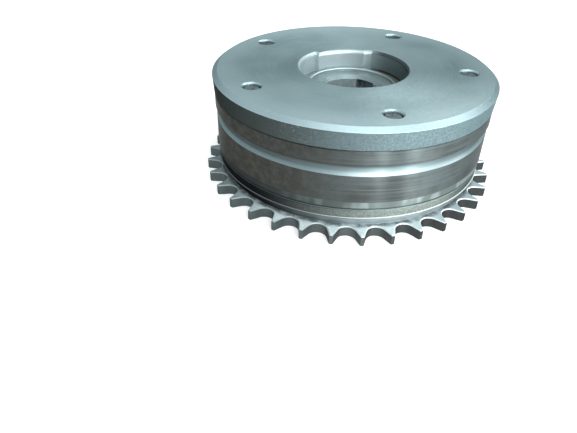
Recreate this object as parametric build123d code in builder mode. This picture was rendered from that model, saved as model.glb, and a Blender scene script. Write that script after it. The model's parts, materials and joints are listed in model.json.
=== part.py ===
from build123d import *
import os
from math import cos, pi, radians, sin, tan

# Variable cam timing unit with a chain sprocket, in millimetres.
# The origin is on the axis, at the sprocket's rear face, and +Z points to the cover plate.
# One screw and one tooth tip lie on -Y, and the lock pin's wide chamber is centred on +Y.
# The unit stands at its retard stop, with the lock pin drawn back into the rotor.

# Chain and teeth
tooth_count = 34
chain_pitch = 9.525
roller_diameter = 6.35
seat_play = 0.035
seating_angle = 130.0
tooth_addendum = 2.0
tooth_edge_break = 0.3
sprocket_thickness = 3.95

# Rear plate that carries the teeth
neck_height = 3.15
rim_overhang = 1.7
rim_height = 3.2
rim_lip_overhang = 0.3
rim_lip_height = 0.6
edge_break = 0.3
rear_relief_inner_radius = 24.0
rear_relief_outer_radius = 30.0
rear_relief_depth = 1.2

# Stator housing, turned in bands with a cove between them
housing_height = 21.6
foot_band_overhang = 0.3
foot_band_height = 3.35
lower_band_overhang = 0.2
lower_band_height = 9.25
cove_height = 3.85
cove_depth = 1.2
cove_round = 0.8
upper_band_overhang = 0.4
housing_edge_break = 0.5
chamber_wall = 6.0
chamber_corner_round = 2.0
web_half_angle = 10.5
web_tip_round = 1.2

# Cover plate
plate_overhang = 0.6
plate_thickness = 7.2
plate_draft = 0.5
plate_chamfer_width = 1.8
plate_chamfer_height = 1.3
opening_radius = 18.8
opening_edge_round = 1.3
lug_reach = 1.9
lug_start_angle = 59.5
lug_end_angle = 121.4
lug_flank_angle = 8.7
lug_root_round = 0.5
lug_flank_round = 1.0
lug_side_round = 0.2

# Rotor
hub_radius = 24.5
hub_play = 0.05
end_play = 0.02
vane_tip_play = 0.15
vane_half_angle = 9.5
vane_corner_round = 2.6
vane_root_round = 0.8
rotor_travel = 25.0
stop_play = 0.4
bolt_bore_radius = 10.0
bolt_bore_chamfer = 1.2
collar_radius = 16.2
collar_height = 0.95
collar_round = 0.4
bolt_seat_radius = 15.1
bolt_seat_depth = 1.0
boss_radius = 19.96
boss_play = 0.04
boss_setback = 0.5
cam_pilot_radius = 15.0
cam_pilot_depth = 5.5
dowel_hole_radius = 2.25
dowel_hole_depth = 7.5
dowel_circle_radius = 12.5
oil_groove_depth = 1.2
oil_groove_width = 3.0
oil_groove_low = 4.5
oil_groove_high = 13.0
oil_port_radius = 1.25
oil_port_offset = 4.5
bore_slot_width = 7.2
bore_slot_depth = 3.0
bore_slot_length = 7.0
bore_slot_angle = 41.0

# Vane tip seals and their bowed leaf springs
seal_width = 2.5
seal_height = 2.9
seal_side_play = 0.05
seal_tip_play = 0.07
seal_slot_depth = 4.2
leaf_thickness = 0.25
leaf_width = 2.2
leaf_length = 17.0
leaf_play = 0.02

# Lock pin, its bush and its spring
lock_bore_wall = 2.15
lock_pin_radius = 4.46
lock_pin_play = 0.04
lock_pin_length = 13.0
lock_nose_radius = 3.7
lock_nose_length = 4.6
lock_nose_chamfer = 0.4
lock_pin_setback = 0.15
lock_well_radius = 3.0
lock_well_depth = 8.6
lock_bore_depth = 15.5
lock_seat_thickness = 1.2
lock_vent_radius = 1.5
lock_groove_depth = 2.0
lock_groove_play = 0.3
lock_bush_radius = 5.6
lock_bush_play = 0.05
lock_bush_length = 4.6
lock_bush_vent_radius = 1.2
spring_wire_radius = 0.3
spring_coil_radius = 2.3
spring_turns = 5

# Screws, with their heads sunk in the sprocket's rear face
screw_circle_radius = 40.3
screw_radius = 3.0
screw_hole_play = 0.2
screw_thread_play = 0.02
screw_end_setback = 0.8
screw_end_chamfer = 0.5
screw_entry_chamfer = 0.5
screw_head_radius = 5.0
screw_head_height = 4.0
screw_head_setback = 0.6
screw_head_play = 0.3
screw_recess_wall = 1.2
screw_socket_width = 4.0
screw_socket_depth = 2.4
first_screw_angle = 40.5
second_screw_angle = 108.3

# Radii of the turned bands, stepped outwards from the screws
neck_radius = screw_circle_radius + screw_head_radius + screw_head_play + screw_recess_wall
rim_radius = neck_radius + rim_overhang
foot_band_radius = rim_radius + foot_band_overhang
lower_band_radius = foot_band_radius + lower_band_overhang
upper_band_radius = lower_band_radius + upper_band_overhang
plate_radius = upper_band_radius + plate_overhang
chamber_radius = lower_band_radius - chamber_wall
vane_radius = chamber_radius - vane_tip_play
slot_floor_radius = vane_radius - seal_slot_depth
lock_circle_radius = slot_floor_radius - lock_bore_wall - lock_pin_play - lock_pin_radius

# Heights of the faces where the pieces meet
neck_top = sprocket_thickness + neck_height
rear_plate_top = neck_top + rim_height
housing_top = rear_plate_top + housing_height
plate_top = housing_top + plate_thickness
rotor_bottom = rear_plate_top + end_play
rotor_top = housing_top - end_play
rotor_height = rotor_top - rotor_bottom
collar_top = rotor_top + collar_height
seat_floor = collar_top - bolt_seat_depth
screw_seat = screw_head_setback + screw_head_height
pilot_floor = boss_setback + cam_pilot_depth
dowel_hole_top = pilot_floor + dowel_hole_depth

# Angles about the axis, counter-clockwise from +X in degrees
wide_chamber_angle = 90.0
screw_angles = [
    wide_chamber_angle - first_screw_angle,
    wide_chamber_angle + first_screw_angle,
    wide_chamber_angle + second_screw_angle,
    wide_chamber_angle + 180.0,
    wide_chamber_angle + 360.0 - second_screw_angle,
]
chamber_spans = [
    (start + web_half_angle, end - web_half_angle)
    for start, end in zip(screw_angles, screw_angles[1:] + [screw_angles[0] + 360.0])
]
# At the retard stop each vane stands half its travel past the middle of its chamber
vane_angles = [(start + end + rotor_travel) / 2 for start, end in chamber_spans]
wide_chamber_start, wide_chamber_end = chamber_spans[0]
wide_vane_half_angle = (wide_chamber_end - wide_chamber_start - rotor_travel) / 2 - stop_play
vane_half_angles = [wide_vane_half_angle] + [vane_half_angle] * 4
lock_angle = vane_angles[0]


def around(radius, angle, height=0.0):
    """Point at a radius and an angle about the axis."""
    return (radius * cos(radians(angle)), radius * sin(radians(angle)), height)


def level_plane(angle, height):
    """Level plane on the axis whose local x points outwards at the angle."""
    return Plane(origin=(0, 0, height), x_dir=around(1.0, angle), z_dir=(0, 0, 1))


def radial_plane(angle):
    """Upright plane through the axis: local x points outwards and local y points up."""
    return Plane(origin=(0, 0, 0), x_dir=around(1.0, angle), z_dir=around(1.0, angle - 90.0))


def sector(inner_radius, outer_radius, start, end):
    """Ring sector about the axis, between two angles."""
    with BuildSketch() as ring_sector:
        with BuildLine():
            inner = CenterArc((0, 0), inner_radius, start, end - start)
            outer = CenterArc((0, 0), outer_radius, start, end - start)
            Line(inner @ 0, outer @ 0)
            Line(inner @ 1, outer @ 1)
        make_face()
    return ring_sector.sketch


def corners_at(sketch, radius):
    """Corners of a sketch that lie at a radius from the axis."""
    return [v for v in sketch.vertices() if abs(Vector(v.X, v.Y, 0).length - radius) < 0.001]


def finish(name, part):
    """Label a finished piece and write its file."""
    part.label = name
    export_step(part, f"parts/{name}.step")
    print(name, round(part.volume, 1), "mm3,", len(part.faces()), "faces")


os.makedirs("parts", exist_ok=True)
screw_places = [around(screw_circle_radius, angle) for angle in screw_angles]
lock_place = around(lock_circle_radius, lock_angle)
dowel_place = around(dowel_circle_radius, wide_chamber_angle)

# Sprocket: rear plate with the tooth ring, a neck for the chain's side plates and a rim
pitch_radius = chain_pitch / (2 * sin(pi / tooth_count))
tip_radius = pitch_radius + tooth_addendum
seat_radius = roller_diameter / 2 + seat_play
seat_end_x = pitch_radius - seat_radius * cos(radians(seating_angle / 2))
seat_end_y = seat_radius * sin(radians(seating_angle / 2))
mouth_x = tip_radius + seat_radius
mouth_y = seat_end_y + (mouth_x - seat_end_x) * tan(radians(90.0 - seating_angle / 2))

with BuildSketch() as tooth_gap:
    with BuildLine():
        seat_arc = ThreePointArc(
            (seat_end_x, -seat_end_y),
            (pitch_radius - seat_radius, 0),
            (seat_end_x, seat_end_y),
        )
        Polyline(seat_arc @ 1, (mouth_x, mouth_y), (mouth_x, -mouth_y), seat_arc @ 0)
    make_face()

with BuildLine() as lock_groove_line:
    CenterArc((0, 0), lock_circle_radius, lock_angle, -rotor_travel)

with BuildPart() as sprocket:
    with BuildSketch():
        Circle(tip_radius)
        with PolarLocations(0, tooth_count, start_angle=-90.0 + 180.0 / tooth_count):
            add(tooth_gap.sketch, mode=Mode.SUBTRACT)
    extrude(amount=sprocket_thickness)
    tooth_outlines = sprocket.edges().group_by(Axis.Z)[0] + sprocket.edges().group_by(Axis.Z)[-1]
    chamfer(tooth_outlines, tooth_edge_break)
    with BuildSketch(Plane.XZ):
        with BuildLine():
            lip_start = (rim_radius, neck_top)
            lip_end = (rim_radius, neck_top + rim_lip_height)
            Polyline((0, 0), (neck_radius, 0), (neck_radius, neck_top), lip_start)
            ThreePointArc(
                lip_start,
                (rim_radius + rim_lip_overhang, neck_top + rim_lip_height / 2),
                lip_end,
            )
            Polyline(
                lip_end,
                (rim_radius, rear_plate_top - edge_break),
                (rim_radius - edge_break, rear_plate_top),
                (0, rear_plate_top),
                (0, 0),
            )
        make_face()
    revolve(axis=Axis.Z)
    # Shallow ring of relief in the rear face
    with BuildSketch():
        Circle(rear_relief_outer_radius)
        Circle(rear_relief_inner_radius, mode=Mode.SUBTRACT)
    extrude(amount=rear_relief_depth, mode=Mode.SUBTRACT)
    # Bearing bore for the rotor's boss, and the screws' holes
    with BuildSketch():
        Circle(boss_radius + boss_play)
        with Locations(*screw_places):
            Circle(screw_radius + screw_hole_play)
    extrude(amount=rear_plate_top, mode=Mode.SUBTRACT)
    with BuildSketch():
        with Locations(*screw_places):
            Circle(screw_head_radius + screw_head_play)
    extrude(amount=screw_seat, mode=Mode.SUBTRACT)
    # Arc groove for the lock pin's nose, and the bush's seat at its retard end
    with BuildSketch(Plane.XY.offset(rear_plate_top)):
        SlotArc(lock_groove_line.edge(), 2 * (lock_nose_radius + lock_groove_play))
    extrude(amount=-lock_groove_depth, mode=Mode.SUBTRACT)
    with BuildSketch(Plane.XY.offset(rear_plate_top - lock_groove_depth)):
        with Locations(lock_place):
            Circle(lock_bush_radius)
    extrude(amount=-lock_bush_length, mode=Mode.SUBTRACT)
    with BuildSketch():
        with Locations(lock_place):
            Circle(lock_bush_vent_radius)
    extrude(amount=rear_plate_top, mode=Mode.SUBTRACT)
finish("sprocket", sprocket.part)

# Hardened bush that the lock pin drops into at the retard stop
with BuildPart() as lock_bush:
    with BuildSketch(Plane.XY.offset(rear_plate_top - lock_groove_depth)):
        with Locations(lock_place):
            Circle(lock_bush_radius)
            Circle(lock_nose_radius + lock_bush_play, mode=Mode.SUBTRACT)
    extrude(amount=-lock_bush_length)
    chamfer(lock_bush.edges().group_by(Axis.Z)[-1].sort_by(SortBy.RADIUS)[0], edge_break)
finish("lock_bush", lock_bush.part)

# Stator housing: turned bands outside, five webs and five oil chambers inside
foot_band_top = rear_plate_top + foot_band_height
cove_bottom = foot_band_top + lower_band_height
cove_top = cove_bottom + cove_height

with BuildPart() as stator_housing:
    with BuildSketch(Plane.XZ) as bands_profile:
        with BuildLine():
            bands = Polyline(
                (0, rear_plate_top),
                (foot_band_radius - edge_break, rear_plate_top),
                (foot_band_radius, rear_plate_top + edge_break),
                (foot_band_radius, foot_band_top),
                (lower_band_radius, foot_band_top),
                (lower_band_radius, cove_bottom),
            )
            cove = ThreePointArc(
                (lower_band_radius, cove_bottom),
                (lower_band_radius - cove_depth, (cove_bottom + cove_top) / 2),
                (upper_band_radius, cove_top),
            )
            Polyline(
                cove @ 1,
                (upper_band_radius, housing_top - housing_edge_break),
                (upper_band_radius - housing_edge_break, housing_top),
                (0, housing_top),
                bands @ 0,
            )
        make_face()
        fillet(bands_profile.vertices().sort_by_distance((upper_band_radius, cove_top))[0], cove_round)
    revolve(axis=Axis.Z)
    with BuildSketch(Plane.XY.offset(rear_plate_top)) as chambers:
        Circle(hub_radius + hub_play)
        for start, end in chamber_spans:
            add(sector(hub_radius - web_tip_round, chamber_radius, start, end))
        fillet(corners_at(chambers, chamber_radius), chamber_corner_round)
        fillet(corners_at(chambers, hub_radius + hub_play), web_tip_round)
    extrude(amount=housing_height, mode=Mode.SUBTRACT)
    with BuildSketch(Plane.XY.offset(rear_plate_top)):
        with Locations(*screw_places):
            Circle(screw_radius + screw_hole_play)
    extrude(amount=housing_height, mode=Mode.SUBTRACT)
finish("stator_housing", stator_housing.part)

# Cover plate, with a lug that reaches into its central opening over the lock pin's side
lug_inner_radius = opening_radius - lug_reach
lug_outer_radius = opening_radius + lug_reach
lug_flank_start = Vector(*around(lug_inner_radius, lug_start_angle))
lug_flank_end = Vector(*around(opening_radius, lug_start_angle - lug_flank_angle))

with BuildSketch() as lug:
    with BuildLine():
        lug_face = CenterArc((0, 0), lug_inner_radius, lug_start_angle, lug_end_angle - lug_start_angle)
        flank = Line(lug_flank_start, lug_flank_start + (lug_flank_end - lug_flank_start) * 1.4)
        side = Line(lug_face @ 1, around(lug_outer_radius, lug_end_angle))
        ThreePointArc(flank @ 1, around(lug_outer_radius, wide_chamber_angle), side @ 1)
    make_face()

with BuildPart() as cover_plate:
    with BuildSketch(Plane.XZ):
        with BuildLine():
            Polyline(
                (0, housing_top),
                (plate_radius - plate_draft, housing_top),
                (plate_radius, plate_top - plate_chamfer_height),
                (plate_radius - plate_chamfer_width, plate_top),
                (0, plate_top),
                close=True,
            )
        make_face()
    revolve(axis=Axis.Z)
    with BuildSketch(Plane.XY.offset(housing_top)) as opening:
        Circle(opening_radius)
        add(lug.sketch, mode=Mode.SUBTRACT)
        flank_root = opening.vertices().sort_by_distance(lug_flank_end)[0]
        fillet(flank_root, lug_root_round)
        flank_corner = opening.vertices().sort_by_distance(lug_flank_start)[0]
        fillet(flank_corner, lug_flank_round)
        side_root = opening.vertices().sort_by_distance(around(opening_radius, lug_end_angle))[0]
        fillet(side_root, lug_side_round)
        side_corner = opening.vertices().sort_by_distance(around(lug_inner_radius, lug_end_angle))[0]
        fillet(side_corner, lug_side_round)
    extrude(amount=plate_thickness, mode=Mode.SUBTRACT)
    fillet(
        cover_plate.faces().sort_by(Axis.Z)[-1].inner_wires()[0].edges(),
        opening_edge_round,
    )
    with Locations(*[around(screw_circle_radius, angle, plate_top) for angle in screw_angles]):
        CounterSinkHole(
            radius=screw_radius + screw_thread_play,
            counter_sink_radius=screw_radius + screw_entry_chamfer,
            counter_sink_angle=90,
        )
finish("cover_plate", cover_plate.part)

# Rotor: hub with five vanes, and in front a raised collar round the bolt's seat and bore
slot_reach = seal_slot_depth + vane_tip_play

with BuildPart() as rotor:
    with BuildSketch(Plane.XY.offset(rotor_bottom)) as vanes:
        Circle(hub_radius)
        for angle, half_angle in zip(vane_angles, vane_half_angles):
            inner_radius = hub_radius - vane_root_round
            add(sector(inner_radius, vane_radius, angle - half_angle, angle + half_angle))
        fillet(corners_at(vanes, vane_radius), vane_corner_round)
        fillet(corners_at(vanes, hub_radius), vane_root_round)
        for angle in vane_angles:
            with Locations(Location(around(slot_floor_radius + slot_reach / 2, angle), (0, 0, angle))):
                Rectangle(slot_reach, seal_width + 2 * seal_side_play, mode=Mode.SUBTRACT)
    extrude(amount=rotor_height)
    # Collar with the bolt's seat and bore, and their rounded and chamfered edges
    with BuildSketch(Plane.XY.offset(rotor_top)):
        Circle(collar_radius)
    extrude(amount=collar_height)
    with BuildSketch(Plane.XY.offset(collar_top)):
        Circle(bolt_seat_radius)
    extrude(amount=-bolt_seat_depth, mode=Mode.SUBTRACT)
    with BuildSketch(Plane.XY.offset(rotor_bottom)):
        Circle(bolt_bore_radius)
    extrude(amount=seat_floor - rotor_bottom, mode=Mode.SUBTRACT)
    fillet(rotor.edges().group_by(Axis.Z)[-1], collar_round)
    bore_mouth = rotor.faces().filter_by(Plane.XY).filter_by_position(Axis.Z, seat_floor, seat_floor)
    chamfer(bore_mouth.edges().sort_by(SortBy.RADIUS)[0], bolt_bore_chamfer)
    # Oil grooves round the bore, and the drilled ports beside each vane
    for groove in (oil_groove_low, oil_groove_high):
        with BuildSketch(Plane.XY.offset(rotor_bottom + groove)):
            Circle(bolt_bore_radius + oil_groove_depth)
        extrude(amount=oil_groove_width, mode=Mode.SUBTRACT)
    for angle, half_angle in zip(vane_angles, vane_half_angles):
        for side, groove in ((-1, oil_groove_low), (1, oil_groove_high)):
            port_angle = angle + side * (half_angle + oil_port_offset)
            port_height = rotor_bottom + groove + oil_groove_width / 2
            with BuildSketch(Plane(origin=(0, 0, port_height), z_dir=around(1.0, port_angle))):
                Circle(oil_port_radius)
            extrude(amount=hub_radius + oil_port_radius, mode=Mode.SUBTRACT)
    # Oil pocket in the bore's wall, below its chamfer
    with BuildSketch(level_plane(bore_slot_angle, seat_floor - bolt_bore_chamfer)):
        with Locations((bolt_bore_radius, 0)):
            Rectangle(2 * bore_slot_depth, bore_slot_width)
    extrude(amount=-bore_slot_length, mode=Mode.SUBTRACT)
    # Blind end of the dowel hole
    with BuildSketch(Plane.XY.offset(rotor_bottom)):
        with Locations(dowel_place):
            Circle(dowel_hole_radius)
    extrude(amount=dowel_hole_top - rotor_bottom, mode=Mode.SUBTRACT)
    # Lock pin's bore in the wide vane, vented to the front
    with BuildSketch(Plane.XY.offset(rotor_bottom)):
        with Locations(lock_place):
            Circle(lock_pin_radius + lock_pin_play)
    extrude(amount=lock_bore_depth, mode=Mode.SUBTRACT)
    with BuildSketch(Plane.XY.offset(rotor_bottom)):
        with Locations(lock_place):
            Circle(lock_vent_radius)
    extrude(amount=rotor_height, mode=Mode.SUBTRACT)
finish("rotor", rotor.part)

# Camshaft adapter: the rotor's bearing journal, with the camshaft's pilot and dowel hole
with BuildPart() as camshaft_adapter:
    with BuildSketch(Plane.XY.offset(boss_setback)):
        Circle(boss_radius)
        Circle(cam_pilot_radius, mode=Mode.SUBTRACT)
    extrude(amount=cam_pilot_depth)
    with BuildSketch(Plane.XY.offset(pilot_floor)):
        Circle(boss_radius)
        Circle(bolt_bore_radius, mode=Mode.SUBTRACT)
        with Locations(dowel_place):
            Circle(dowel_hole_radius, mode=Mode.SUBTRACT)
    extrude(amount=rotor_bottom - pilot_floor)
finish("camshaft_adapter", camshaft_adapter.part)

# Vane tip seals, each pressed outwards by a bowed leaf spring in the bottom of its slot
seal_outer_radius = chamber_radius - seal_tip_play
seal_inner_radius = seal_outer_radius - seal_height
leaf_outer_radius = seal_inner_radius - leaf_play
leaf_inner_radius = slot_floor_radius + leaf_play
leaf_middle = (rotor_bottom + rotor_top) / 2

for number, angle in enumerate(vane_angles, start=1):
    with BuildPart() as vane_seal:
        with BuildSketch(level_plane(angle, rotor_bottom + end_play)):
            with Locations((seal_inner_radius + seal_height / 2, 0)):
                Rectangle(seal_height, seal_width)
            Circle(seal_outer_radius, mode=Mode.INTERSECT)
        extrude(amount=rotor_height - 2 * end_play)
    finish(f"vane_seal_{number}", vane_seal.part)

    with BuildPart() as seal_spring:
        with BuildSketch(radial_plane(angle)):
            with BuildLine():
                outer_face = ThreePointArc(
                    (leaf_outer_radius, leaf_middle - leaf_length / 2),
                    (leaf_inner_radius + leaf_thickness, leaf_middle),
                    (leaf_outer_radius, leaf_middle + leaf_length / 2),
                )
                inner_face = ThreePointArc(
                    (leaf_outer_radius - leaf_thickness, leaf_middle - leaf_length / 2),
                    (leaf_inner_radius, leaf_middle),
                    (leaf_outer_radius - leaf_thickness, leaf_middle + leaf_length / 2),
                )
                Line(outer_face @ 0, inner_face @ 0)
                Line(outer_face @ 1, inner_face @ 1)
            make_face()
        extrude(amount=leaf_width / 2, both=True)
    finish(f"seal_spring_{number}", seal_spring.part)

# Lock pin: a hollow pin with a narrower nose
pin_bottom = rotor_bottom + lock_pin_setback
pin_top = pin_bottom + lock_pin_length
lock_axis = Axis(lock_place, (0, 0, 1))

with BuildPart() as lock_pin:
    with BuildSketch(Plane(origin=lock_place, x_dir=(1, 0, 0), z_dir=(0, -1, 0))):
        with BuildLine():
            Polyline(
                (0, pin_bottom),
                (lock_nose_radius - lock_nose_chamfer, pin_bottom),
                (lock_nose_radius, pin_bottom + lock_nose_chamfer),
                (lock_nose_radius, pin_bottom + lock_nose_length),
                (lock_pin_radius, pin_bottom + lock_nose_length),
                (lock_pin_radius, pin_top),
                (lock_well_radius, pin_top),
                (lock_well_radius, pin_top - lock_well_depth),
                (0, pin_top - lock_well_depth),
                close=True,
            )
        make_face()
    revolve(axis=lock_axis)
finish("lock_pin", lock_pin.part)

# Vented disc at the bottom of the lock pin's bore, which the spring pushes on
lock_bore_top = rotor_bottom + lock_bore_depth

with BuildPart() as lock_spring_seat:
    with BuildSketch(Plane.XY.offset(lock_bore_top - lock_seat_thickness)):
        with Locations(lock_place):
            Circle(lock_pin_radius)
            Circle(lock_vent_radius, mode=Mode.SUBTRACT)
    extrude(amount=lock_seat_thickness)
finish("lock_spring_seat", lock_spring_seat.part)

# Lock pin's coil spring, between the pin's well and the disc
spring_bottom = pin_top - lock_well_depth + spring_wire_radius
spring_height = lock_bore_top - lock_seat_thickness - spring_wire_radius - spring_bottom

with BuildPart() as lock_spring:
    with BuildLine():
        coil = Helix(
            pitch=spring_height / spring_turns,
            height=spring_height,
            radius=spring_coil_radius,
            center=around(lock_circle_radius, lock_angle, spring_bottom),
        )
    with BuildSketch(Plane(origin=coil @ 0, z_dir=coil % 0)):
        Circle(spring_wire_radius)
    sweep()
finish("lock_spring", lock_spring.part)

# Screws: hexagon socket heads behind, threaded ends in the cover plate
for number, place in enumerate(screw_places, start=1):
    with BuildPart() as housing_screw:
        with BuildSketch(Plane.XY.offset(screw_head_setback)):
            with Locations(place):
                Circle(screw_head_radius)
        extrude(amount=screw_head_height)
        chamfer(housing_screw.edges().group_by(Axis.Z)[0], edge_break)
        with BuildSketch(Plane.XY.offset(screw_seat)):
            with Locations(place):
                Circle(screw_radius)
        extrude(amount=plate_top - screw_end_setback - screw_seat)
        chamfer(housing_screw.edges().group_by(Axis.Z)[-1], screw_end_chamfer)
        with BuildSketch(Plane.XY.offset(screw_head_setback)):
            with Locations(place):
                RegularPolygon(screw_socket_width / 2, 6, major_radius=False)
        extrude(amount=screw_socket_depth, mode=Mode.SUBTRACT)
    finish(f"housing_screw_{number}", housing_screw.part)
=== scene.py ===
import json
from math import cos, radians, sin

import bpy
from mathutils import Matrix, Vector

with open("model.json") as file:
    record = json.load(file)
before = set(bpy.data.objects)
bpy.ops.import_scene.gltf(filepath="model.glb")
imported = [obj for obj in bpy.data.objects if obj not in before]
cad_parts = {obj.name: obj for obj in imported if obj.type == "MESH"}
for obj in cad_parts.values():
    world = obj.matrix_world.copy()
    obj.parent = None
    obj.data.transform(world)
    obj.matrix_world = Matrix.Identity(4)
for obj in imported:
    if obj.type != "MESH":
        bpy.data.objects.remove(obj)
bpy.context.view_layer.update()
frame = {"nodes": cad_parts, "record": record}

MM = 0.001

# Heights of the CAD model's main faces above its base, in millimetres
SPROCKET_TOP = 3.95
NECK_TOP = 7.1
CASE_JOINT = 10.3
FOOT_BAND_TOP = 13.65
COVE_BOTTOM = 22.9
COVE_TOP = 26.75
BORE_CHAMFER_FLOOR = 30.63
SEAT_FLOOR = 31.83
PLATE_BOTTOM = 31.9
COLLAR_TOP = 32.83
BEVEL_BOTTOM = 37.8
PLATE_TOP = 39.1

# A height in the rotor's bore, below the oil pocket and the upper oil groove
BELOW_POCKET = 22.0

# Radii of the CAD model's turned faces, in millimetres
BORE_RADIUS = 10.0
BORE_CHAMFER_RADIUS = 11.2
POCKET_RADIUS = 13.0
MOUTH_RADIUS = 20.1
NECK_RADIUS = 46.8
RIM_RADIUS = 48.5
PLATE_RADIUS = 50.0

# Directions about the axis of the painted shade on one side, the painted shade on a second side, the
# nicks, and the painted shade inside the opening
PAINTED_SHADE_SIDE = radians(-178.0)
PAINTED_DIM_SIDE = radians(-39.0)
NICKED_SIDE = radians(-134.0)
PAINTED_OPENING_SHADE_SIDE = radians(-12.0)

# How far a noise moves along X, Y and Z for each step of its seed
SEED_STEP = (1.0, 1.7, 0.6)

# Features to the millimetre along the rings of a ring noise
RING_DRIFT = 0.1

# Turn of the brushed highlights, in whole turns
BRUSHED_TURN = 0.25

# Places of the colours among the sockets of a Mix node
MIX_FIRST = 6
MIX_SECOND = 7
MIX_RESULT = 2


def colour(red, green, blue):
    """Linear colour from 8-bit sRGB values."""
    linear = []
    for value in (red, green, blue):
        share = value / 255.0
        linear.append(share / 12.92 if value < 11 else ((share + 0.055) / 1.055) ** 2.4)
    return tuple(linear)


class Tree:
    """The node tree of a material or world, with short ways to add and join its nodes."""

    def __init__(self, owner):
        owner.use_nodes = True
        self.nodes = owner.node_tree.nodes
        self.links = owner.node_tree.links

    def put(self, value, socket):
        """Join an output to a socket, or set the socket to a number, colour or vector."""
        if isinstance(value, bpy.types.NodeSocket):
            self.links.new(value, socket)
        elif socket.type == "RGBA":
            socket.default_value = (*value, 1.0)
        else:
            socket.default_value = value

    def maths(self, operation, first, second=0.0):
        """Two values, or one, put through an operation of a Math node."""
        node = self.nodes.new("ShaderNodeMath")
        node.operation = operation
        self.put(first, node.inputs[0])
        self.put(second, node.inputs[1])
        return node.outputs[0]

    def product(self, *factors):
        """All factors multiplied. Of masks, this is 1 only where each of them is."""
        result = factors[0]
        for factor in factors[1:]:
            result = self.maths("MULTIPLY", result, factor)
        return result

    def ramp(self, value, low, high, to_low=0.0, to_high=1.0, interpolation="SMOOTHSTEP"):
        """A value between two limits, taken over to between two others and held there."""
        node = self.nodes.new("ShaderNodeMapRange")
        node.interpolation_type = interpolation
        self.put(value, node.inputs["Value"])
        limits = {"From Min": low, "From Max": high, "To Min": to_low, "To Max": to_high}
        for name, limit in limits.items():
            self.put(limit, node.inputs[name])
        return node.outputs["Result"]

    def z_of(self, vector):
        """The part of a vector along Z."""
        node = self.nodes.new("ShaderNodeSeparateXYZ")
        self.put(vector, node.inputs[0])
        return node.outputs["Z"]

    def seen(self):
        """Above 0 only for what is seen directly, in a reflection or through glass."""
        rays = self.nodes.new("ShaderNodeLightPath")
        total = rays.outputs["Is Camera Ray"]
        for kind in ("Is Glossy Ray", "Is Transmission Ray"):
            total = self.maths("ADD", total, rays.outputs[kind])
        return total


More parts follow.
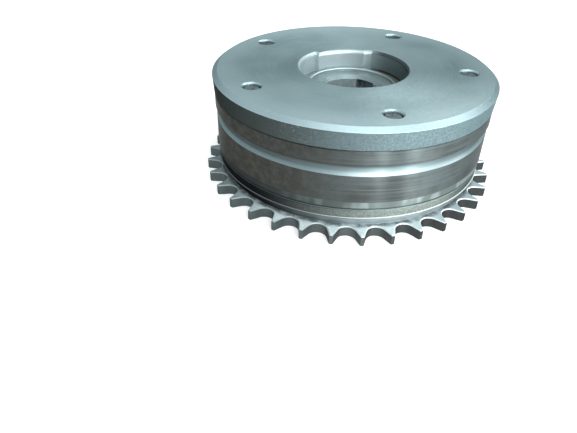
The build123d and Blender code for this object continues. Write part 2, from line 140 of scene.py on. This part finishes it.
class Shader(Tree):
    """A material under construction, drawn by place on the object."""

    def __init__(self, name):
        self.material = bpy.data.materials.new(name)
        super().__init__(self.material)
        self.bsdf = self.nodes["Principled BSDF"]
        coordinates = self.nodes.new("ShaderNodeTexCoord")
        self.place = coordinates.outputs["Object"]
        self.normal = coordinates.outputs["Normal"]

    def vector_maths(self, operation, first, second=(0.0, 0.0, 0.0)):
        """Two vectors, or one, put through an operation of a Vector Math node."""
        node = self.nodes.new("ShaderNodeVectorMath")
        node.operation = operation
        self.put(first, node.inputs[0])
        self.put(second, node.inputs[1])
        return node.outputs["Value" if operation in ("LENGTH", "DOT_PRODUCT") else "Vector"]

    def blend(self, share, first, second):
        """The first colour, taken over to the second by a share from 0 to 1."""
        node = self.nodes.new("ShaderNodeMix")
        node.data_type = "RGBA"
        self.put(share, node.inputs["Factor"])
        self.put(first, node.inputs[MIX_FIRST])
        self.put(second, node.inputs[MIX_SECOND])
        return node.outputs[MIX_RESULT]

    def noise_at(self, vector, detail, roughness):
        """Noise read at a vector, with one feature to each unit."""
        node = self.nodes.new("ShaderNodeTexNoise")
        self.put(vector, node.inputs["Vector"])
        self.put(1.0, node.inputs["Scale"])
        self.put(detail, node.inputs["Detail"])
        self.put(roughness, node.inputs["Roughness"])
        return node.outputs["Fac"]

    def noise(self, per_mm, detail, seed, stretch=(1.0, 1.0, 1.0), roughness=0.55):
        """Noise with a number of features to the millimetre along each axis."""
        mapping = self.nodes.new("ShaderNodeMapping")
        self.put(self.place, mapping.inputs["Vector"])
        self.put([per_mm / MM * share for share in stretch], mapping.inputs["Scale"])
        self.put([seed * step for step in SEED_STEP], mapping.inputs["Location"])
        return self.noise_at(mapping.outputs["Vector"], detail, roughness)

    def rings(self, per_mm, detail, seed):
        """Noise drawn out into circles round the axis, with a number of rings to the millimetre."""
        drift = self.vector_maths("MULTIPLY", self.place, (0.0, RING_DRIFT / MM, RING_DRIFT / MM))
        across = self.nodes.new("ShaderNodeCombineXYZ")
        self.put(self.product(self.radius(), per_mm), across.inputs["X"])
        self.put(seed, across.inputs["Y"])
        return self.noise_at(self.vector_maths("ADD", drift, across.outputs[0]), detail, roughness=0.5)

    def spread(self, noise, to_low=0.0, to_high=1.0):
        """A noise, mostly between 0.3 and 0.7, spread out between two other limits."""
        return self.ramp(noise, 0.3, 0.7, to_low, to_high)

    def radius(self):
        """Distance from the axis, in millimetres."""
        flat = self.vector_maths("MULTIPLY", self.place, (1 / MM, 1 / MM, 0.0))
        return self.vector_maths("LENGTH", flat)

    def height(self):
        """Height above the base, in millimetres."""
        return self.product(self.z_of(self.place), 1 / MM)

    def facing_up(self):
        """How level the surface is: 1 on a level face and 0 on an upright wall."""
        return self.maths("ABSOLUTE", self.z_of(self.normal))

    def side(self, angle, start, end):
        """Smooth step between two distances off the axis, in millimetres, towards one side."""
        towards = (cos(angle) / MM, sin(angle) / MM, 0.0)
        return self.ramp(self.vector_maths("DOT_PRODUCT", self.place, towards), start, end)

    def painted_shade(self):
        """Share of the painted shade that darkens one side of the object."""
        return self.side(PAINTED_SHADE_SIDE, -2.0, 42.0)

    def surface(self, base, roughness, metallic=1.0, edge_tint=0.25):
        """The finish, with the grey level of what it reflects edge-on."""
        self.put(base, self.bsdf.inputs["Base Color"])
        self.put(roughness, self.bsdf.inputs["Roughness"])
        self.put(metallic, self.bsdf.inputs["Metallic"])
        self.put((edge_tint, edge_tint, edge_tint), self.bsdf.inputs["Specular Tint"])

    def relief(self, layers, edge_round):
        """Bump layers of (height, depth in millimetres) over edges rounded by some millimetres."""
        bevel = self.nodes.new("ShaderNodeBevel")
        bevel.samples = 6
        self.put(edge_round * MM, bevel.inputs["Radius"])
        normal = bevel.outputs["Normal"]
        for value, depth in layers:
            bump = self.nodes.new("ShaderNodeBump")
            self.put(depth * MM, bump.inputs["Distance"])
            self.put(value, bump.inputs["Height"])
            self.put(normal, bump.inputs["Normal"])
            normal = bump.outputs["Normal"]
        self.put(normal, self.bsdf.inputs["Normal"])

    def turned(self, amount):
        """Brushed round the axis, so that highlights stretch across the grooves."""
        tangent = self.nodes.new("ShaderNodeTangent")
        tangent.direction_type = "RADIAL"
        tangent.axis = "Z"
        self.put(tangent.outputs[0], self.bsdf.inputs["Tangent"])
        self.put(amount, self.bsdf.inputs["Anisotropic"])
        self.put(BRUSHED_TURN, self.bsdf.inputs["Anisotropic Rotation"])


def plate_steel():
    """Cover plate: ground face, machined bevel, opening and cast outer wall."""
    s = Shader("plate_steel")
    radius = s.radius()
    height = s.height()
    grain = s.noise(per_mm=1.6, detail=3.0, seed=5.0)
    scratches = s.rings(per_mm=2.2, detail=2.0, seed=7.0)

    # Ground face, paler towards its edge
    cloud = s.noise(per_mm=0.03, detail=2.0, seed=3.0)
    ground = s.blend(s.ramp(cloud, 0.35, 0.65), colour(150, 173, 177), colour(170, 192, 196))
    outwards = s.ramp(radius, PLATE_RADIUS - 14.0, PLATE_RADIUS - 3.0, 0.0, 0.6)
    ground = s.blend(outwards, ground, colour(190, 212, 216))
    ground = s.blend(s.ramp(scratches, 0.45, 0.75, 0.0, 0.3), ground, colour(190, 211, 215))

    # Cast outer wall, nicked at one place and with painted shade on one side
    skin = s.spread(s.noise(per_mm=1.6, detail=5.0, seed=9.0))
    cast = s.blend(skin, colour(106, 125, 129), colour(126, 147, 151))
    nicks = s.product(
        s.ramp(s.noise(per_mm=1.1, detail=1.0, seed=12.0), 0.62, 0.68, 0.0, 0.9),
        s.side(NICKED_SIDE, 47.6, 49.7),
    )
    cast = s.blend(nicks, cast, colour(196, 206, 207))
    cast = s.blend(s.painted_shade(), cast, colour(62, 67, 67))
    wall = s.product(
        s.ramp(height, BEVEL_BOTTOM, BEVEL_BOTTOM - 0.08),
        s.ramp(radius, PLATE_RADIUS - 2.0, PLATE_RADIUS - 1.5),
    )
    base = s.blend(wall, ground, cast)

    # Machined bevel
    bevel = s.product(
        s.ramp(height, PLATE_TOP, PLATE_TOP - 0.03),
        s.ramp(height, BEVEL_BOTTOM, BEVEL_BOTTOM + 0.08),
        s.ramp(radius, PLATE_RADIUS - 20.0, PLATE_RADIUS - 19.0),
    )
    base = s.blend(bevel, base, s.blend(grain, colour(146, 168, 173), colour(170, 192, 197)))

    # Opening, with painted shade on one side of its wall and mouth, and a brown painted shadow at the
    # foot of the wall on that side
    bore = s.blend(s.side(PAINTED_OPENING_SHADE_SIDE, 2.0, 15.0), colour(188, 203, 206), colour(104, 116, 118))
    lip = s.blend(s.side(PAINTED_OPENING_SHADE_SIDE, 4.0, 13.0), colour(172, 189, 192), colour(66, 75, 78))
    bore = s.blend(s.ramp(height, PLATE_TOP - 1.5, PLATE_TOP - 0.9), bore, lip)
    painted_foot_shadow = s.product(
        s.side(PAINTED_OPENING_SHADE_SIDE, 6.0, 14.0),
        s.ramp(height, PLATE_BOTTOM + 1.0, PLATE_BOTTOM + 0.4),
    )
    bore = s.blend(painted_foot_shadow, bore, colour(74, 60, 50))
    inside = s.product(
        s.ramp(radius, MOUTH_RADIUS + 0.5, MOUTH_RADIUS + 0.1),
        s.ramp(height, PLATE_TOP, PLATE_TOP - 0.1),
    )
    base = s.blend(inside, base, bore)

    roughness = s.maths("ADD", s.spread(grain, 0.36, 0.44), s.product(wall, 0.16))
    s.surface(base, roughness, metallic=s.ramp(inside, 0.0, 1.0, 1.0, 0.7))
    s.turned(s.product(s.ramp(s.facing_up(), 0.95, 0.99), 0.5))
    pits = s.product(s.noise(per_mm=1.3, detail=4.0, seed=2.0), wall)
    s.relief([(pits, 0.015), (scratches, 0.004)], edge_round=0.25)
    return s.material


def turned_steel():
    """Stator housing: brushed bands, a cove between them painted pale as lit, and a foot band with
    painted reflections.
    """
    s = Shader("turned_steel")
    height = s.height()
    painted_shade = s.painted_shade()
    lines = s.noise(per_mm=1.0, detail=3.0, seed=4.0, stretch=(0.03, 0.03, 2.4))

    # Bands, with blotchy painted shade on one side
    stain = s.noise(per_mm=0.08, detail=3.0, seed=8.0)
    band = s.blend(s.ramp(stain, 0.35, 0.65), colour(71, 76, 75), colour(90, 99, 100))
    band = s.blend(s.spread(lines, 0.0, 0.5), band, colour(114, 124, 125))
    blotches = s.ramp(s.noise(per_mm=0.5, detail=5.0, seed=17.0, roughness=0.65), 0.35, 0.68)
    band = s.blend(painted_shade, band, s.blend(blotches, colour(60, 60, 57), colour(74, 75, 71)))

    # Foot band, with light and dark patches painted as reflections of the teeth, painted shade on one
    # side, and a dark and a pale line over the joint with the sprocket
    painted_reflections = s.ramp(s.noise(per_mm=0.2, detail=1.0, seed=2.0, stretch=(1.0, 1.0, 0.3)), 0.42, 0.58)
    foot_band_colour = s.blend(painted_reflections, colour(110, 121, 118), colour(145, 160, 158))
    foot_band_colour = s.blend(painted_shade, foot_band_colour, colour(52, 56, 56))
    dark_line = s.ramp(height, CASE_JOINT + 1.15, CASE_JOINT + 0.95)
    foot_band_colour = s.blend(dark_line, foot_band_colour, s.blend(painted_shade, colour(74, 80, 79), colour(34, 37, 38)))
    pale_line = s.ramp(height, CASE_JOINT + 0.6, CASE_JOINT + 0.45)
    foot_band_colour = s.blend(pale_line, foot_band_colour, s.blend(painted_shade, colour(138, 158, 160), colour(66, 75, 77)))
    base = s.blend(s.ramp(height, FOOT_BAND_TOP + 0.05, FOOT_BAND_TOP - 0.05), band, foot_band_colour)

    # Cove, painted pale as lit and palest at its foot as a painted highlight, with painted shade towards
    # two sides
    painted_dim = s.side(PAINTED_DIM_SIDE, 26.0, 43.0)
    cove_wall = s.blend(painted_shade, colour(156, 176, 180), colour(94, 106, 108))
    cove_wall = s.blend(painted_dim, cove_wall, colour(124, 140, 144))
    cove_foot = s.blend(painted_shade, colour(212, 234, 238), colour(158, 180, 184))
    cove_foot = s.blend(painted_dim, cove_foot, colour(186, 206, 210))
    low = s.ramp(height, COVE_BOTTOM + 1.5, COVE_BOTTOM + 0.2)
    cove = s.product(
        s.ramp(height, COVE_BOTTOM, COVE_BOTTOM + 0.1),
        s.ramp(height, COVE_TOP - 0.1, COVE_TOP - 2.8),
    )
    base = s.blend(cove, base, s.blend(low, cove_wall, cove_foot))

    roughness = s.maths("ADD", s.spread(lines, 0.36, 0.44), s.product(cove, 0.12))
    s.surface(base, roughness, edge_tint=0.5)
    s.turned(0.95)
    s.relief([(lines, 0.006)], edge_round=0.2)
    return s.material


def sprocket_steel():
    """Sprocket: pale tooth tops, gap walls painted darker as shade, the neck, and the rim with a painted
    highlight along its lip.
    """
    s = Shader("sprocket_steel")
    radius = s.radius()
    height = s.height()
    facing_up = s.facing_up()
    painted_shade = s.painted_shade()
    grain = s.noise(per_mm=1.2, detail=4.0, seed=6.0)
    cloud = s.noise(per_mm=0.12, detail=2.0, seed=1.0)

    # Walls of the tooth gaps, painted darker than the tops as shade, and darker still as painted shade
    # towards two sides
    gap = s.blend(cloud, colour(92, 97, 97), colour(116, 122, 122))
    gap = s.blend(s.side(PAINTED_DIM_SIDE, 12.0, 44.0), gap, colour(66, 69, 69))
    gap = s.blend(painted_shade, gap, s.blend(cloud, colour(72, 80, 81), colour(92, 102, 103)))

    # Tops of the teeth, with painted shade towards two sides, and darker towards the neck from mottled
    # stains and a painted shadow under the rim
    top = s.blend(cloud, colour(218, 240, 244), colour(238, 252, 254))
    top = s.blend(s.ramp(grain, 0.4, 0.7, 0.0, 0.3), top, colour(150, 168, 172))
    top = s.blend(s.side(PAINTED_SHADE_SIDE, 34.0, 52.0), top, colour(122, 136, 139))
    top = s.blend(s.side(PAINTED_DIM_SIDE, 30.0, 52.0), top, colour(150, 168, 172))
    stain = s.product(
        s.ramp(radius, NECK_RADIUS + 3.0, NECK_RADIUS + 0.8),
        s.ramp(s.noise(per_mm=0.35, detail=3.0, seed=14.0), 0.35, 0.6, 0.3, 0.85),
    )
    top = s.blend(stain, top, colour(72, 82, 85))
    level = s.ramp(facing_up, 0.4, 0.8)
    base = s.blend(level, gap, top)

    # Painted highlight on the edges between the tops and the walls, dimmer on the side with painted shade
    edge = s.product(s.ramp(facing_up, 0.4, 0.6), s.ramp(facing_up, 0.95, 0.85))
    base = s.blend(edge, base, s.blend(painted_shade, colour(218, 230, 233), colour(140, 152, 155)))

    # Neck between the teeth and the rim, pale as a painted reflection of the tooth tops and black as
    # painted shade on one side
    neck = s.product(
        s.ramp(radius, NECK_RADIUS + 0.4, NECK_RADIUS + 0.1),
        s.ramp(height, SPROCKET_TOP - 0.1, SPROCKET_TOP + 0.1),
    )
    base = s.blend(neck, base, s.blend(painted_shade, colour(168, 180, 183), colour(34, 37, 38)))

    # Rim under the housing, with painted shade towards two sides and a painted highlight along its lip
    speckle = s.ramp(s.noise(per_mm=2.0, detail=3.0, seed=21.0), 0.4, 0.65)
    rim = s.blend(speckle, colour(122, 131, 126), colour(146, 157, 152))
    rim = s.blend(painted_shade, rim, colour(20, 22, 23))
    rim = s.blend(s.side(PAINTED_DIM_SIDE, 41.0, 49.0), rim, colour(88, 98, 98))
    base = s.blend(s.ramp(height, NECK_TOP - 0.2, NECK_TOP), base, rim)
    lip = s.product(
        s.ramp(height, NECK_TOP + 0.3, NECK_TOP + 0.45),
        s.ramp(radius, RIM_RADIUS + 0.05, RIM_RADIUS + 0.1),
        s.ramp(height, NECK_TOP + 0.75, NECK_TOP + 0.65),
    )
    base = s.blend(lip, base, s.blend(painted_shade, colour(196, 206, 204), colour(92, 102, 104)))

    roughness = s.maths("ADD", s.spread(grain, 0.44, 0.54), s.product(level, 0.14))
    s.surface(base, roughness, metallic=s.ramp(level, 0.0, 1.0, 0.9, 0.55))
    s.relief([(grain, 0.02)], edge_round=0.25)
    return s.material


def rotor_steel():
    """Rotor: collar, bolt seat, mouth of the bore and the oil pocket beside it."""
    s = Shader("rotor_steel")
    radius = s.radius()
    height = s.height()
    grain = s.noise(per_mm=0.8, detail=3.0, seed=11.0)
    base = s.blend(grain, colour(172, 188, 191), colour(198, 212, 214))

    # Seat and collar
    front = s.ramp(height, SEAT_FLOOR - 0.1, SEAT_FLOOR - 0.02)
    base = s.blend(front, base, s.blend(grain, colour(136, 152, 155), colour(158, 174, 177)))
    collar = s.ramp(height, COLLAR_TOP - 0.45, COLLAR_TOP - 0.2)
    base = s.blend(collar, base, colour(180, 196, 199))

    # Chamfered mouth of the bore, and painted shade over one side of the seat
    mouth = s.product(
        s.ramp(radius, BORE_CHAMFER_RADIUS + 0.1, BORE_CHAMFER_RADIUS - 0.05),
        s.ramp(height, BORE_CHAMFER_FLOOR - 0.05, BORE_CHAMFER_FLOOR + 0.1),
    )
    base = s.blend(mouth, base, colour(122, 138, 141))
    painted_seat_shade = s.product(front, s.side(PAINTED_OPENING_SHADE_SIDE, 5.0, 16.0))
    base = s.blend(painted_seat_shade, base, colour(136, 148, 150))

    # Oil pocket, and the upper oil groove that runs into it
    pocket = s.product(
        s.ramp(radius, BORE_RADIUS + 0.02, BORE_RADIUS + 0.1),
        s.ramp(radius, POCKET_RADIUS + 0.4, POCKET_RADIUS + 0.2),
        s.ramp(height, BORE_CHAMFER_FLOOR, BORE_CHAMFER_FLOOR - 0.1),
        s.ramp(height, BELOW_POCKET, BELOW_POCKET + 0.5),
    )
    base = s.blend(pocket, base, colour(110, 122, 125))

    metallic = s.ramp(pocket, 0.0, 1.0, 0.8, 0.2)
    s.surface(base, s.spread(grain, 0.37, 0.5), metallic)
    s.relief([(grain, 0.01)], edge_round=0.15)
    return s.material


def plain_finish(name, seed, dark, light, roughness, per_mm=0.8, metallic=1.0):
    """Even material with a fine grain between two colours and two values of roughness."""
    s = Shader(name)
    grain = s.noise(per_mm, detail=3.0, seed=seed)
    s.surface(s.blend(grain, dark, light), s.spread(grain, *roughness), metallic)
    s.relief([(grain, 0.01)], edge_round=0.15)
    return s.material


materials = {
    "plate_steel": plate_steel(),
    "turned_steel": turned_steel(),
    "sprocket_steel": sprocket_steel(),
    "rotor_steel": rotor_steel(),
    "screw_steel": plain_finish(
        "screw_steel", 11, colour(62, 68, 69), colour(176, 190, 192), (0.27, 0.4), per_mm=1.2
    ),
    "hardened_steel": plain_finish(
        "hardened_steel", 14, colour(120, 120, 118), colour(160, 160, 158), (0.25, 0.38)
    ),
    "spring_steel": plain_finish(
        "spring_steel", 12, colour(110, 112, 116), colour(150, 152, 156), (0.25, 0.38)
    ),
    "seal_polymer": plain_finish(
        "seal_polymer", 12, colour(30, 30, 30), colour(46, 46, 46), (0.45, 0.58), per_mm=2.0, metallic=0.0
    ),
}
slots = {part["node"]: part["material_slot"] for part in frame["record"]["subparts"]}
for name, piece in frame["nodes"].items():
    piece.data.materials.clear()
    piece.data.materials.append(materials[slots[name]])

# Floor: pale, white to the camera and in reflections, and it keeps the shadow
FLOOR_SIZE = 8.0
FLOOR_GLOW = 0.35
bpy.ops.mesh.primitive_plane_add(size=FLOOR_SIZE)
floor = bpy.context.object
floor.name = "floor"
floor_material = bpy.data.materials.new("floor")
floor_tree = Tree(floor_material)
floor_shader = floor_tree.nodes["Principled BSDF"]
floor_tree.put((0.8, 0.8, 0.8), floor_shader.inputs["Base Color"])
floor_tree.put(0.9, floor_shader.inputs["Roughness"])
floor_tree.put((1.0, 1.0, 1.0), floor_shader.inputs["Emission Color"])
glow = floor_tree.product(floor_tree.seen(), FLOOR_GLOW)
floor_tree.put(glow, floor_shader.inputs["Emission Strength"])
floor.data.materials.append(floor_material)

# World: soft grey studio, brighter overhead, and white at the horizon as the floor's backdrop
world = bpy.data.worlds.new("studio")
bpy.context.scene.world = world
sky_tree = Tree(world)
background = sky_tree.nodes["Background"]
direction = sky_tree.nodes.new("ShaderNodeTexCoord")
up = sky_tree.z_of(direction.outputs["Generated"])
sky = sky_tree.ramp(up, low=0.05, high=0.5, to_low=0.3, to_high=0.95)
backdrop = sky_tree.ramp(up, low=0.14, high=0.2, to_low=1.0, to_high=0.0, interpolation="LINEAR")
white = sky_tree.product(sky_tree.seen(), backdrop)
sky_tree.put(sky_tree.maths("MAXIMUM", sky, white), background.inputs["Strength"])
sky_tree.put((0.93, 0.99, 1.0), background.inputs["Color"])

# Area lamps: azimuth and elevation in degrees, width and height in metres, and power in watts
LAMPS = {
    "overhead": (-80, 72, 0.7, 0.7, 2.0),
    "strip_front": (-81, 10, 0.07, 0.5, 2.0),
    "strip_right": (-57, 10, 0.07, 0.5, 2.0),
    "front_top": (-85, 45, 0.4, 0.3, 3.0),
    "fill_right": (-50, 15, 0.5, 0.4, 3.0),
    "fill_far_right": (-20, 18, 0.4, 0.4, 1.5),
    "key_back": (20, 50, 0.5, 0.4, 2.5),
}
LAMP_TARGET = Vector((0, 0, 0.02))
LAMP_DISTANCE = 0.9
for name, (azimuth, elevation, width, height, power) in LAMPS.items():
    data = bpy.data.lights.new(name, "AREA")
    data.shape = "RECTANGLE"
    data.size = width
    data.size_y = height
    data.energy = power
    lamp = bpy.data.objects.new(name, data)
    bpy.context.scene.collection.objects.link(lamp)
    a = radians(azimuth)
    e = radians(elevation)
    place = LAMP_TARGET + LAMP_DISTANCE * Vector((cos(a) * cos(e), sin(a) * cos(e), sin(e)))
    lamp.location = place
    lamp.rotation_euler = (LAMP_TARGET - place).to_track_quat("-Z", "Y").to_euler()

# Camera: solved from the rims, the screws and the teeth in the photograph
YAW = -0.117334
PITCH = 0.622010
ROLL = 0.0223248
CAMERA_BACK = 0.186902
CAMERA_OVER_PLATE = 0.066709
SENSOR_WIDTH = 36.0
FOCAL_LENGTH = 33.349

# Turn about the axis that takes the camera from the frame it was solved in to the object's own
FIT_TURN = Matrix.Rotation(radians(-18.873), 3, "Z")

forward = Vector((sin(YAW) * cos(PITCH), cos(YAW) * cos(PITCH), -sin(PITCH)))
level = Vector((cos(YAW), -sin(YAW), 0))
upright = level.cross(forward)
right = cos(ROLL) * level + sin(ROLL) * upright
above = -sin(ROLL) * level + cos(ROLL) * upright
facing = FIT_TURN @ Matrix((right, above, -forward)).transposed()
spot = FIT_TURN @ Vector((0, -CAMERA_BACK, PLATE_TOP * MM + CAMERA_OVER_PLATE))
camera_data = bpy.data.cameras.new("camera")
camera_data.sensor_fit = "HORIZONTAL"
camera_data.sensor_width = SENSOR_WIDTH
camera_data.lens = FOCAL_LENGTH
camera_data.clip_start = 0.01
camera = bpy.data.objects.new("camera", camera_data)
bpy.context.scene.collection.objects.link(camera)
camera.matrix_world = Matrix.Translation(spot) @ facing.to_4x4()
bpy.context.scene.camera = camera
bpy.context.scene.view_settings.view_transform = "Standard"
